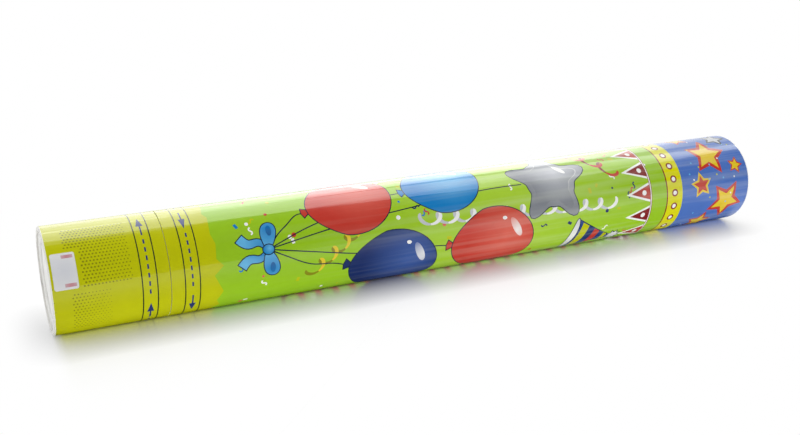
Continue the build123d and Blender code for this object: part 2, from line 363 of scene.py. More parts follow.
def turnMarks(d, look):
    s, sign = look["arrowPlace"], turnSign
    shaft, barb, dash = sign["shaft"], sign["barb"], sign["dash"]
    for band in look["bands"]:
        d.rule(band, look["lineWidth"], "bandLine")
    for tailAngle, tipAngle, reach, count in look["signs"]:
        tail, tip = atAngle(tailAngle), atAngle(tipAngle)
        neck = tip - math.copysign(sign["head"], tip - tail)
        head = [(barb, neck), (0, tip), (-barb, neck)]
        arrow = [(-shaft, tail), (shaft, tail), (shaft, neck), *head, (-shaft, neck)]
        d.lay(np.array(arrow) + (s, 0), "arrow")
        start, end = min(tail, tip) - reach, min(tail, tip) - sign["clear"]
        for i in range(count):
            step = (end - start) / count
            low = start + step * (i + sign["dashStart"])
            d.lay(oblong(s - dash, s + dash, low, low + step * sign["dashShare"]), "arrow")


# grip's drawing

gripDrawing = dict(
    node="grip_tube", bevels=(0.5, 0.1), rims=("paper", "yellow"), mouth="paper",
    margin=dict(edge=0.5, depth=0.32, roughness=0.38, seed=4), seed=11, flecks=34,
    bands=(39.5, 46.3), lineWidth=0.55, arrowPlace=42.9,
    # angles of tail and tip, reach and number of the dashes
    signs=((54.5, 81.0, 29.5, 7), (-48.2, -21.7, 19.0, 4), (157.2, 183.7, 0.0, 0)),
    # reach round the tube, reach along it, widest radius, share lost by the last row
    dotPitch=1.55, dotBlocks=(
        (4.5, 34.5, 14.5, 36.0, 0.45, 0.3), (23.1, 34.5, 8.3, 14.4, 0.45, 0.0),
        (-19.0, 1.5, 9.0, 26.0, 0.40, 0.5), (58.0, 104.0, 12.0, 36.0, 0.45, 0.3),
    ),
)


def drawGrip():
    look, d = gripDrawing, Drawing("yellow")
    raggedMargin(d, **look["margin"])
    rng = np.random.default_rng(look["seed"])
    for u in rng.uniform(seamLow + 2, seamHigh - 2, look["flecks"]):
        place = rng.uniform(0.75, 1.2), u
        d.lay(ellipse(place, (rng.uniform(0.08, 0.2), rng.uniform(0.1, 0.4)), 8), "fleck")
    # fine dots in rows that fade out, where the grip is held
    pitch = look["dotPitch"]
    for low, high, first, last, widest, fade in look["dotBlocks"]:
        for s in np.arange(first, last, pitch):
            size = widest * (1.0 - fade * (s - first) / (last - first))
            for k, u in enumerate(np.arange(low, high, pitch)):
                d.dot((s + pitch / 2 * (k % 2), u), size, "olive", 10)
    turnMarks(d, look)
    return d


# barrel's drawing: balloons on strings, a hat, pennants and stars on bands of colour

barrelDrawing = dict(
    node="barrel_tube", bevels=(0.1, 0.5), rims=("yellow", "paper"), mouth="board",
    margin=dict(edge=399.5, depth=-0.3, roughness=0.15, seed=9), seed=27,
    bands=(59.0, 66.0), lineWidth=0.55, arrowPlace=62.5,
    signs=((82.0, 55.0, 29.5, 7), (-20.7, -47.7, 0.0, 0), (176.0, 149.0, 24.0, 6)),
    greenStart=75.2, tears=34, tearWander=1.4, tearDepth=2.6,
    paleAlong=(70, 338), paleSplit=52.0, paleCentre=235, paleReach=95.0,
    scraps=230, scrapAlong=(84, 330), scrapSize=(0.8, 1.6),
    scrapInks=("white", "yellow", "red", "sky", "navy", "paleRed", "yellow", "white"),
    pennants=12, pennantTop=327.0, pennantDrop=17.0, gathers=((100.0, 8.0), (98.0, 86.0)), bowSize=1.05,
    # gather that the string runs to, place, size, inks, lean
    balloons=(
        (0, (146, 28), 23.0, "red", "paleRed", 10), (0, (166, -13), 25.0, "navy", "paleNavy", -14),
        (0, (199, 31), 22.0, "sky", "paleSky", 8), (0, (224, -9), 25.0, "red", "paleRed", -8),
        (1, (142, 68), 18.0, "yellow", "white", -12), (1, (152, 99), 19.0, "sky", "paleSky", 12),
        (1, (190, 74), 21.0, "navy", "paleNavy", -8), (1, (206, 99), 19.0, "red", "paleRed", 8),
        (1, (244, 78), 19.0, "maroon", "paleRed", -4),
    ),
    starBalloons=((0, (263, 22), 25.0, 14), (1, (258, 101), 16.0, -10)),
    hats=(((276, -15), 31.0, 12.5, -10), ((284, 74), 28.0, 11.0, 8)),
    hatStripes=((0.12, 0.28, "yellow"), (0.44, 0.58, "red"), (0.72, 0.82, "yellow")),
    # start, end, turns, swing, width, inks of the front and the back
    streamers=(
        ((112, -32), (300, -35), 20, 2.9, 2.1, "red", "maroon"),
        ((182, 11), (302, 4), 12, 2.9, 2.1, "white", "paleGrey"),
        ((110, 53), (316, 50), 22, 2.9, 2.1, "gold", "olive"),
        ((120, 114), (300, 112), 19, 2.9, 2.1, "red", "maroon"),
        ((284, 42), (306, 20), 3, 2.7, 2.0, "red", "maroon"),
        ((120, -8), (148, 12), 4, 2.5, 1.9, "gold", "olive"),
    ),
    ring=(338.6, 349.6), ringDots=20, specks=46, speckAlong=(352.5, 396.5),
    # place along and round the tube, size, turn
    muzzleStars=(
        (370, -22, 8, 10), (383, -6, 11, -14), (364, 6, 6.5, 25), (374, 24, 11.5, 8), (389, 38, 7, -8),
        (365, 44, 6.5, 30), (381, 58, 10, 12), (366, 72, 7, -20), (385, 82, 9, 5), (369, 96, 9.5, 16),
        (386, 109, 7.5, -12), (391, 15, 4.5, 0),
    ),
    muzzleInks=(
        ("gold", "red"), ("gold", "red"), ("red", "gold"),
        ("gold", "red"), ("paleGrey", "line"), ("gold", "red"),
    ),
)


def drawScraps(d, look, rng):
    bend = np.linspace(-1.9, 1.9, 7)
    curl = ribbon(np.stack([bend, 0.8 * np.sin(bend * 1.7)], 1), 0.8)
    for i in range(look["scraps"]):
        place = rng.uniform(*look["scrapAlong"]), rng.uniform(seamLow + 2.5, seamHigh - 2.5)
        turn, size = rng.uniform(0, 180), rng.uniform(*look["scrapSize"])
        ink = look["scrapInks"][i % len(look["scrapInks"])]
        if i % 3 == 0:
            d.dot(place, size * 0.8, ink, 12)
        elif i % 3 == 1:
            d.lay(placed(oblong(-1, 1, -0.6, 0.6), place, turn, size), ink)
        else:
            d.lay(placed(curl, place, turn), ink)


# a curl of paper strip: the turns at the back first, then those in front
def streamer(d, start, end, turns, swing, width, ink, back):
    start, end = np.asarray(start, float), np.asarray(end, float)
    way = (end - start) / np.linalg.norm(end - start)
    side = np.array([-way[1], way[0]])
    pitch = np.linalg.norm(end - start) / turns
    for first, shade in ((0, back), (1, ink)):
        for half in range(first, turns * 2, 2):
            phase = math.pi * np.linspace(half, half + 1, 12)
            along = pitch * phase / (2 * math.pi) - 0.30 * pitch * np.sin(phase)
            path = start + along[:, None] * way + (swing * np.cos(phase))[:, None] * side
            d.lay(ribbon(path, width * (0.45 + 0.55 * np.abs(np.sin(phase)))), shade)


def stringLine(d, start, end, sway):
    t = np.linspace(0, 1, 26)
    path = start + np.subtract(end, start) * t[:, None]
    path[:, 1] += sway * np.sin(math.pi * t) + 0.9 * np.sin(3 * math.pi * t) * (1 - t)
    d.lay(ribbon(path, pen["string"]), "line")


def balloon(d, centre, size, ink, pale, lean):
    def put(*points):
        return placed(points, centre, lean, size)

    t = wholeTurn(52)
    along, across = np.cos(t), np.sin(t) * (0.84 + 0.06 * np.cos(t))
    across = across * (1.0 - 0.30 * np.clip(-along - 0.35, 0, 1))
    d.outlined(put((-0.99, 0.035), (-1.12, 0.11), (-1.15, 0.0), (-1.12, -0.11), (-0.99, -0.035)), ink)
    d.outlined(put(*np.stack([along, across], 1)), pale, ink, put((0.34, 0.28))[0], 1.05 * size)
    gloss = ellipse((0.50, 0.40), (0.26, 0.085), 22, -52.0)
    d.lay(put(*gloss), "white", pale, put((0.56, 0.34))[0], 0.40 * size)
    d.lay(put(*ellipse((0.18, 0.60), (0.055, 0.04), 12)), "white")


def starBalloon(d, centre, size, lean):
    def put(along, across):
        return np.asarray(centre, float) + (along * size, across * size)

    d.outlined(puffyStar(centre, size, lean), "paleGrey", "grey", put(0.25, 0.2), 0.95 * size)
    d.lay(puffyStar(centre, size * 0.80, lean), "white", "grey", put(0.3, 0.3), 0.9 * size)
    d.lay(puffyStar(centre, size * 0.76, lean), "paleGrey", "grey", put(0.2, 0.2), 0.8 * size)
    d.lay(ellipse(put(0.36, 0.26), (0.17 * size, 0.06 * size), 18, -48), "white")


def ribbonBow(d, centre, size):
    c, t = np.asarray(centre, float), wholeTurn(34)
    tailSway = np.linspace(0, 7, 14) + 1.6 * np.sin(np.linspace(0, 6, 14))
    bulge = 3.4 * np.sin(t) * (1 - 0.35 * np.cos(t)) + 1.5 * (1 - np.cos(t)) / 2
    for way in (1, -1):
        tail = np.stack([np.linspace(0, -13, 14), way * tailSway], 1) * size
        d.outlined(ribbon(tail + c, np.linspace(2.2, 4.4, 14) * size), "sky", "paleSky", c, 12 * size)
        loop = np.stack([bulge, way * 6.2 * (1 - np.cos(t))], 1) * size
        d.outlined(loop + c, "sky", "paleSky", c + (1.0, way * 9.0 * size), 9 * size)
        fold = ellipse(c + np.array((1.4, way * 8.6)) * size, (1.3 * size, 2.5 * size), 18)
        d.lay(fold, "navy", "sky", c, 14 * size)
    d.outlined(ellipse(c, (2.6 * size, 2.2 * size), 18), "paleSky", "sky", c + (0.6, 0.5), 3 * size)


def partyHat(d, stripes, base, height, half, lean):
    def put(*points):
        return placed(points, base, lean)

    cone = put((0, -half), (0, half), (height, 0))
    d.outlined(cone, "navy", "paleNavy", put((height * 0.4, half * 0.2))[0], height * 0.7)
    for low, high, ink in stripes:
        corners = (low, -1), (high, -1), (high, 1), (low, 1)
        d.lay(put(*[(height * t, side * half * (1 - t) * 0.97) for t, side in corners]), ink)
    brim, tuft = ellipse((0, 0), (2.0, half * 1.04), 24), star((height, 0), 4.6, 2.9, 9)
    d.outlined(put(*brim), "white", "paleGrey", put((0.8, 2))[0], half)
    d.outlined(put(*tuft), "white", "paleGrey", put((height + 1, 1))[0], 5.0)


# pennants on a cord all the way round
def pennantCord(d, look):
    top, drop = look["pennantTop"], look["pennantDrop"]
    pitch = turnLength / look["pennants"]
    for i in range(look["pennants"]):
        left = seamLow + pitch * i
        right, middle = left + pitch, left + pitch / 2
        d.lay([(top - 0.2, left + 0.9), (top - 0.2, right - 0.9), (top - drop, middle)], "white")
        inner = [(top - 0.4, left + 2.3), (top - 0.4, right - 2.3), (top - drop * 0.80, middle)]
        d.lay(inner, "red" if i % 2 else "maroon", "maroon", (top, middle), drop)
        d.dot((top - drop * 0.27, middle), 1.5, "white", 14)
    d.rule(top, 1.4, "maroon")
    d.rule(top, 0.6, "white")


# yellow foot of the barrel, with an edge like torn paper
def tornFoot(d, look, rng):
    count, wander, depth = look["tears"], look["tearWander"], look["tearDepth"]
    u = np.linspace(seamLow, seamHigh, count) + np.r_[0, rng.uniform(-wander, wander, count - 2), 0]
    s = look["greenStart"] + rng.uniform(-depth, depth, count)
    s[-1] = s[0]
    d.lay(upToEdge(sheetEnds(look)[0], s, u), "yellow")


def muzzleBands(d, look, rng):
    start, end = look["ring"]
    d.lay(hoop(start, end), "brightYellow")
    d.rule(start, 0.8, "maroon")
    for i in range(look["ringDots"]):
        place = (start + end) / 2, seamLow + turnLength * (i + 0.5) / look["ringDots"]
        d.dot(place, 2.2, "maroon", 18)
        d.dot(place, 1.3, "white", 14)
    d.lay(hoop(end, look["margin"]["edge"]), "blue")
    for i, (s, u, size, turn) in enumerate(look["muzzleStars"]):
        ink, edge = look["muzzleInks"][i % len(look["muzzleInks"])]
        d.lay(star((s, u), size * 1.22, size * 0.64, 5, turn), edge)
        d.lay(star((s, u), size * 0.92, size * 0.42, 5, turn), ink)
    for i in range(look["specks"]):
        place = rng.uniform(*look["speckAlong"]), rng.uniform(seamLow + 1.5, seamHigh - 1.5)
        d.dot(place, 0.55, ("white", "yellow", "paleSky")[i % 3], 9)
    raggedMargin(d, **look["margin"])


def drawBarrel():
    look, d = barrelDrawing, Drawing("green")
    rng = np.random.default_rng(look["seed"])
    # paler green behind the balloons, fading out from two centres
    for low, high in ((seamLow, look["paleSplit"]), (look["paleSplit"], seamHigh)):
        centre = look["paleCentre"], (low + high) / 2
        d.lay(oblong(*look["paleAlong"], low, high), "paleGreen", "green", centre, look["paleReach"])
    drawScraps(d, look, rng)
    for strip in look["streamers"]:
        streamer(d, *strip)
    for which, centre, size, *_, lean in look["balloons"]:
        knot = placed([(-1.15, 0)], centre, lean, size)[0]
        stringLine(d, knot, look["gathers"][which], math.copysign(2.5, lean))
    for which, centre, size, lean in look["starBalloons"]:
        stringLine(d, np.asarray(centre, float) + (-0.72 * size, 0), look["gathers"][which], 3.0)
    for _, *shape in look["starBalloons"]:
        starBalloon(d, *shape)
    for _, *shape in look["balloons"]:
        balloon(d, *shape)
    for centre in look["gathers"]:
        ribbonBow(d, centre, look["bowSize"])
    for hat in look["hats"]:
        partyHat(d, look["hatStripes"], *hat)
    pennantCord(d, look)
    tornFoot(d, look, rng)
    turnMarks(d, look)
    muzzleBands(d, look, rng)
    return d


def insideLoop(points, loop):
    px, py = points[:, :1], points[:, 1:]
    ax, ay = loop[:, 0][None], loop[:, 1][None]
    bx, by = np.roll(loop[:, 0], -1)[None], np.roll(loop[:, 1], -1)[None]
    crosses = (ay > py) != (by > py)
    step = np.where(by == ay, 1.0, by - ay)
    return (np.sum(crosses & (px < (bx - ax) * (py - ay) / step + ax), 1) % 2) == 1


# cuts the flat sheet along every printed line, so that each ink has its own faces
def cutSheet(drawing, low, high, columns, rowStep):
    points, edges = [], []

    def chain(loop):
        first, count = len(points), len(loop)
        points.extend((float(a), float(b)) for a, b in loop)
        edges.extend((first + i, first + (i + 1) % count) for i in range(count if count > 2 else 1))

    rows = max(2, int(round((high[0] - low[0]) / rowStep)) + 1)
    for u in np.linspace(low[1], high[1], columns + 1):
        chain([(low[0], u), (high[0], u)])
    for s in np.linspace(low[0], high[0], rows):
        chain([(s, low[1]), (s, high[1])])
    loops = [shape[0] for shape in drawing.shapes]
    for loop in loops:
        chain(np.clip(loop, low, high))
    cut = delaunay_2d_cdt(points, edges, [], 0, 1e-4, False)
    flat, faces = np.array([tuple(v) for v in cut[0]]), np.array(cut[2], int)
    ahead, aside = flat[faces[:, 1]] - flat[faces[:, 0]], flat[faces[:, 2]] - flat[faces[:, 0]]
    area = ahead[:, 0] * aside[:, 1] - ahead[:, 1] * aside[:, 0]
    faces[area < 0] = faces[area < 0][:, ::-1]
    faces = faces[np.abs(area) > 1e-9]
    corners = flat[faces]
    middles = corners.mean(1)
    top = np.full(len(faces), -1)
    for i, loop in enumerate(loops):
        near = np.where(np.all((middles >= loop.min(0)) & (middles <= loop.max(0)), 1))[0]
        if len(near):
            top[near[insideLoop(middles[near], loop)]] = i
    colours = np.tile(toLinear(inks[drawing.ground]), (len(faces), 3, 1))
    for i in np.unique(top[top >= 0]):
        inner, outer, centre, reach = drawing.shapes[i][1:]
        t = np.clip(np.linalg.norm(corners[top == i] - centre, axis=2) / reach, 0, 1)[..., None]
        colours[top == i] = inner * (1 - t) + outer * t
    return flat, faces, colours


# geometry trees


def shapeTree(name, sockets):
    tree = bpy.data.node_groups.new(name, "GeometryNodeTree")
    tree.is_modifier = True
    face = tree.interface
    face.new_socket("Geometry", in_out="INPUT", socket_type="NodeSocketGeometry")
    for kind, labels in sockets.items():
        for label in labels:
            face.new_socket(label, in_out="INPUT", socket_type="NodeSocket" + kind)
    face.new_socket("Geometry", in_out="OUTPUT", socket_type="NodeSocketGeometry")
    return tree, addNode(tree, "NodeGroupInput").outputs, addNode(tree, "NodeGroupOutput")


def geoStep(tree, kind, geometry, settings={}, **links):
    node = addNode(tree, "GeometryNode" + kind, **settings)
    feed(tree, node, {0: geometry})
    feed(tree, node, {name.capitalize(): value for name, value in links.items()})
    return node.outputs[0]


def pointPlace(tree):
    return split(tree, addNode(tree, "GeometryNodeInputPosition").outputs[0])


# rolls a flat blank (x along the tube, y round it, z the radius) into a tube
def rollTree():
    tree, given, made = shapeTree("rollCard", {
        "Float": ("Radius", "Axis Height", "Start", "Seam Weld"), "Material": ("Face Finish", "Board Finish"),
    })
    along, around, depth = pointPlace(tree)
    angle = mathNode(tree, "DIVIDE", around, given["Radius"])
    out, up = [times(tree, depth, mathNode(tree, kind, angle)) for kind in ("COSINE", "SINE")]
    place = combine(
        tree, x=mathNode(tree, "ADD", along, given["Start"]), y=times(tree, out, -1.0),
        z=mathNode(tree, "ADD", up, given["Axis Height"]))
    isBoard = addNode(tree, "GeometryNodeInputNamedAttribute", data_type="BOOLEAN")
    feed(tree, isBoard, {"Name": "board"})
    board = isBoard.outputs["Attribute"]
    shape = geoStep(tree, "SetPosition", given["Geometry"], position=place)
    shape = geoStep(tree, "MergeByDistance", shape, distance=given["Seam Weld"])
    shape = geoStep(tree, "RealizeInstances", shape)
    shape = geoStep(tree, "SetMaterial", shape, material=given["Face Finish"])
    shape = geoStep(tree, "SetMaterial", shape, material=given["Board Finish"], selection=board)
    feed(tree, made, {0: shape})
    return tree


def linked(name, mesh):
    obj = bpy.data.objects.new(name, mesh)
    scene.collection.objects.link(obj)
    return obj


def throughTree(obj, tree, values):
    modifier = obj.modifiers.new("shape", "NODES")
    modifier.node_group = tree
    for item in tree.interface.items_tree:
        if item.in_out == "INPUT" and item.name in values:
            modifier[item.identifier] = values[item.name]
    graph = bpy.context.evaluated_depsgraph_get()
    shaped = obj.evaluated_get(graph)
    mesh = bpy.data.meshes.new_from_object(shaped, preserve_all_data_layers=True, depsgraph=graph)
    name, old = obj.name, obj.data
    bpy.data.objects.remove(obj)
    bpy.data.meshes.remove(old)
    mesh.name = name
    return linked(name, mesh)


cardRoll = rollTree()
rollSizes = {
    "Radius": tube["radius"] * mm, "Axis Height": tube["radius"] * mm, "Start": -tube["length"] / 2 * mm,
}


def readBack(items, field, width=1, kind=float):
    values = np.zeros(len(items) * width, kind)
    items.foreach_get(field, values)
    return values.reshape(-1, width) if width > 1 else values


# every face of a rolled piece is shaded as part of a true cylinder or cone
def roundNormals(mesh):
    faceNormals = readBack(mesh.polygons, "normal", 3)
    faceNormals = np.repeat(faceNormals, readBack(mesh.polygons, "loop_total", kind=int), 0)
    places = readBack(mesh.vertices, "co", 3) - (0, 0, tube["radius"] * mm)
    places[:, 0] = 0
    radial = unit(places)[readBack(mesh.loops, "vertex_index", kind=int)]
    normals = radial * np.sum(faceNormals * radial, 1)[:, None]
    normals[:, 0] = faceNormals[:, 0]
    mesh.shade_smooth()
    mesh.normals_split_custom_set(unit(normals).tolist())
    mesh.update()


# the last faces given are bare board
def flatMesh(name, verts, faces, colours, boardFaces=0):
    mesh = bpy.data.meshes.new(name)
    mesh.from_pydata((np.asarray(verts) * mm).tolist(), [], [list(map(int, f)) for f in faces])
    ink = mesh.color_attributes.new("ink", "FLOAT_COLOR", "CORNER")
    full = np.ones((len(colours), 4), np.float32)
    full[:, :3] = colours
    ink.data.foreach_set("color", full.ravel())
    flag = mesh.attributes.new("board", "BOOLEAN", "FACE")
    flag.data.foreach_set("value", np.arange(len(faces)) >= len(faces) - boardFaces)
    return mesh


def cardTube(name, look, drawing, body):
    sheetStart, sheetEnd, start, end = sheetEnds(look)
    outer, inner = tube["radius"], tube["radius"] - tube["wall"]
    low, high = (sheetStart, seamLow), (sheetEnd, seamHigh)
    flat, faces, colours = cutSheet(drawing, low, high, tube["columns"], tube["rowStep"])
    # rims and bore, from the far rim inwards and back to the near one
    bore = [(s, inner) for s in np.linspace(end, start, tube["boreSteps"])]
    rings = [(sheetEnd, outer), (end, outer - look["bevels"][1]), (end, (outer + inner) / 2), *bore]
    rings += [(start, (outer + inner) / 2), (start, outer - look["bevels"][0]), (sheetStart, outer)]
    ringInks = [look["rims"][1], "paper", "paper", *["board"] * (len(bore) - 2), look["mouth"]]
    ringInks += ["paper", "paper", look["rims"][0]]
    u = np.linspace(seamLow, seamHigh, tube["columns"] + 1)
    wide = len(u)
    sheet = np.column_stack([flat, np.full(len(flat), outer)])
    verts = np.vstack([sheet, *[np.column_stack([np.full(wide, s), u, np.full(wide, r)]) for s, r in rings]])
    first = len(flat) + np.arange(len(ringInks))[:, None] * wide + np.arange(wide - 1)
    quads = np.stack([first, first + wide, first + wide + 1, first + 1], -1).reshape(-1, 4)
    quadInks = np.repeat([toLinear(inks[ink]) for ink in ringInks], (wide - 1) * 4, 0)
    cornerInks = np.vstack([colours.reshape(-1, 3), quadInks])
    mesh = flatMesh(name, verts, [*faces, *quads], cornerInks, len(quads))
    finish = {"Seam Weld": 4e-6, "Face Finish": laminate, "Board Finish": woundBoard}
    made = throughTree(linked(name, mesh), cardRoll, rollSizes | finish)
    roundNormals(made.data)
    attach(made, body)
    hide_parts(look["node"])
    print(name, len(made.data.polygons), "faces")


cardTube("gripCard", gripDrawing, drawGrip(), "grip")
cardTube("barrelCard", barrelDrawing, drawBarrel(), "barrel")

# price sticker: a blank white label with two red bars, one corner a little lifted

sticker = dict(
    along=(1.6, 12.1), angles=(9.0, 46.7), corner=1.0, thickness=0.09, gap=0.01, lift=0.22, liftReach=3.5,
    columns=14, rowStep=1.2, fadeReach=22.0, barAlong=(6.3, 11.3), barHalf=0.8, barInset=1.9, barReach=6.0,
    fibre=1800.0, tone=(0.93, 1.02), rough=(0.42, 0.6), bump=0.15, bumpDepth=0.0001,
)


def stickerFinish():
    material, tree, shader = newFinish("labelPaper")
    fibres = noise(tree, sticker["fibre"], detail=4.0, rough=0.65)
    feed(tree, shader, {
        "Base Color": tonedInk(tree, spread(tree, fibres, *sticker["tone"])),
        "Roughness": spread(tree, fibres, *sticker["rough"]),
        "Normal": bumpFrom(tree, fibres, sticker["bump"], sticker["bumpDepth"]),
    })
    return material


def roundedBox(low, high, corner, steps=5):
    (sLow, uLow), (sHigh, uHigh) = np.add(low, corner), np.subtract(high, corner)
    loop = []
    for quarter, centre in enumerate(((sHigh, uHigh), (sLow, uHigh), (sLow, uLow), (sHigh, uLow))):
        a = np.radians(np.linspace(90 * quarter, 90 * quarter + 90, steps))
        loop.append(corner * np.stack([np.cos(a), np.sin(a)], 1) + centre)
    return np.vstack(loop)


def makeSticker():
    look = sticker
    low, high = [(s, atAngle(angle)) for s, angle in zip(look["along"], look["angles"])]
    d = Drawing("label")
    outline = roundedBox(low, high, look["corner"])
    d.lay(outline, "label", "paper", None, look["fadeReach"])
    for u in (low[1] + look["barInset"], high[1] - look["barInset"]):
        bar = oblong(*look["barAlong"], u - look["barHalf"], u + look["barHalf"])
        d.lay(bar, "labelMark", "label", None, look["barReach"])
    flat, faces, colours = cutSheet(d, low, high, look["columns"], look["rowStep"])
    keep = insideLoop(flat[faces].mean(1), outline)
    reach = look["liftReach"]
    lifted = np.clip((flat[:, 0] - high[0] + reach) / reach, 0, 1)
    lifted = lifted * np.clip((low[1] + reach - flat[:, 1]) / reach, 0, 1)
    height = tube["radius"] + look["thickness"] + look["gap"] + look["lift"] * lifted ** 2
    used, faces = np.unique(faces[keep], return_inverse=True)
    verts = np.column_stack([flat, height])[used]
    mesh = flatMesh("priceSticker", verts, faces.reshape(-1, 3), colours[keep].reshape(-1, 3))
    flatLabel = linked("priceSticker", mesh)
    wall = flatLabel.modifiers.new("paper", "SOLIDIFY")
    wall.thickness = look["thickness"] * mm
    wall.offset = -1.0
    made = throughTree(flatLabel, cardRoll, rollSizes | {"Seam Weld": 1e-7, "Face Finish": stickerFinish()})
    made.data.shade_smooth()
    made.data.set_sharp_from_angle(angle=math.radians(40))
    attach(made, "grip")
    print("priceSticker", len(made.data.polygons), "faces")


makeSticker()

# paper slips in the barrel

slips = dict(
    perStack=14, thickness=0.26, ripple=0.05, ripples=2.5, trim=(0.9, 0.7), jitter=0.16, turn=0.30, seed=5,
    fibre=2200.0, crinkle=400.0, rough=(0.6, 0.85), foilRough=(0.25, 0.4), bump=0.25, bumpDepth=0.0005,
)
# deep and pale tone, and how metallic the paper is
slipPapers = dict(
    red=((206, 34, 38), (236, 74, 66), 0.0), yellow=((240, 200, 30), (250, 222, 90), 0.0),
    blue=((30, 72, 176), (66, 112, 208), 0.0), green=((52, 150, 56), (98, 190, 84), 0.0),
    silver=((188, 190, 196), (226, 228, 232), 0.85),
)


def slipFinish(name, deep, pale, metal):
    material, tree, shader = newFinish(name)
    tint = addNode(tree, "ShaderNodeAttribute", attribute_name="tint")
    fibres = noise(tree, slips["fibre"], (0.5, 1, 1), detail=5.0, rough=0.7)
    crinkle = noise(tree, slips["crinkle"], (0.3, 1, 1), detail=2.0)
    feed(tree, shader, {
        "Base Color": mixInk(tree, weighed(tree, tint.outputs["Fac"], fibres), rgba(deep), rgba(pale)),
        "Roughness": spread(tree, fibres, *slips["foilRough" if metal else "rough"]),
        "Normal": bumpFrom(tree, crinkle, slips["bump"], slips["bumpDepth"]),
        "Metallic": metal,
    })
    return material


def slipTree():
    tree, given, made = shapeTree("slipStacks", {
        "Float": ("Length", "Width", "Height", "Thickness", "Ripple", "Ripples", "Jitter", "Turn"),
        "Int": ("Per Stack", "Seed"), "Material": ("Paper",),
    })

    def randomly(offset, low=-1.0, high=1.0):
        node = addNode(tree, "FunctionNodeRandomValue", data_type="FLOAT")
        feed(tree, node, {2: low, 3: high, "Seed": mathNode(tree, "ADD", given["Seed"], float(offset))})
        return node.outputs[1]

    block = addNode(tree, "GeometryNodeMeshCube")
    size = combine(tree, x=given["Length"], y=given["Width"], z=given["Thickness"])
    feed(tree, block, {"Vertices X": 11, "Size": size})
    along = pointPlace(tree)[0]
    phase = times(tree, mathNode(tree, "DIVIDE", along, given["Length"]), given["Ripples"])
    wave = times(tree, mathNode(tree, "SINE", times(tree, phase, 2 * math.pi)), given["Ripple"])
    slip = geoStep(tree, "SetPosition", block.outputs["Mesh"], offset=combine(tree, z=wave))
    # one point for each slip, up each stack
    copies = addNode(tree, "GeometryNodeDuplicateElements", domain="POINT")
    feed(tree, copies, {"Geometry": given["Geometry"], "Amount": given["Per Stack"]})
    level = mathNode(tree, "ADD", copies.outputs["Duplicate Index"], 0.5)
    level = mathNode(tree, "SUBTRACT", mathNode(tree, "DIVIDE", level, given["Per Stack"]), 0.5)
    shift = combine(
        tree, x=times(tree, randomly(1), given["Jitter"]), y=times(tree, randomly(2), given["Jitter"]),
        z=times(tree, level, given["Height"]))
    tint = dict(data_type="FLOAT", domain="POINT")
    shape = geoStep(tree, "SetPosition", copies.outputs["Geometry"], offset=shift)
    shape = geoStep(tree, "StoreNamedAttribute", shape, tint, name="tint", value=randomly(3, 0.0, 1.0))
    spin = combine(tree, z=times(tree, randomly(4), given["Turn"]))
    shape = geoStep(tree, "InstanceOnPoints", shape, instance=slip, rotation=spin)
    shape = geoStep(tree, "RealizeInstances", shape)
    feed(tree, made, {0: geoStep(tree, "SetMaterial", shape, material=given["Paper"])})
    return tree


# boxes of a node's separate solids
def stackBoxes(node):
    merged = bmesh.new()
    merged.from_mesh(cadNodes[node].data)
    bmesh.ops.remove_doubles(merged, verts=merged.verts, dist=1e-6)
    seen, boxes = set(), []
    for vert in merged.verts:
        island, fresh = set(), {vert} - seen
        while fresh:
            island |= fresh
            fresh = {edge.other_vert(one) for one in fresh for edge in one.link_edges} - island
        if island:
            seen |= island
            places = np.array([one.co[:] for one in island])
            boxes.append((places.min(0), places.max(0)))
    merged.free()
    return boxes


slipStacks = slipTree()
for colour, paper in slipPapers.items():
    boxes = stackBoxes("confetti_" + colour)
    length, width, height = (boxes[0][1] - boxes[0][0]).tolist()
    seats = bpy.data.meshes.new("seats")
    seats.from_pydata([tuple((low + high) / 2) for low, high in boxes], [], [])
    pieceName = "slips" + colour.capitalize()
    piece = throughTree(linked(pieceName, seats), slipStacks, {
        "Length": length - slips["trim"][0] * mm, "Width": width - slips["trim"][1] * mm,
        "Height": height - 2 * slips["ripple"] * mm, "Thickness": slips["thickness"] * mm,
        "Ripple": slips["ripple"] * mm, "Ripples": slips["ripples"], "Jitter": slips["jitter"] * mm,
        "Turn": math.radians(slips["turn"]), "Per Stack": slips["perStack"], "Seed": slips["seed"],
        "Paper": slipFinish(colour + "Slips", *paper),
    })
    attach(piece, "charge")
    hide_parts("confetti_" + colour)
    print(pieceName, len(boxes), "stacks,", len(piece.data.polygons), "faces")

# finishes of the CAD pieces

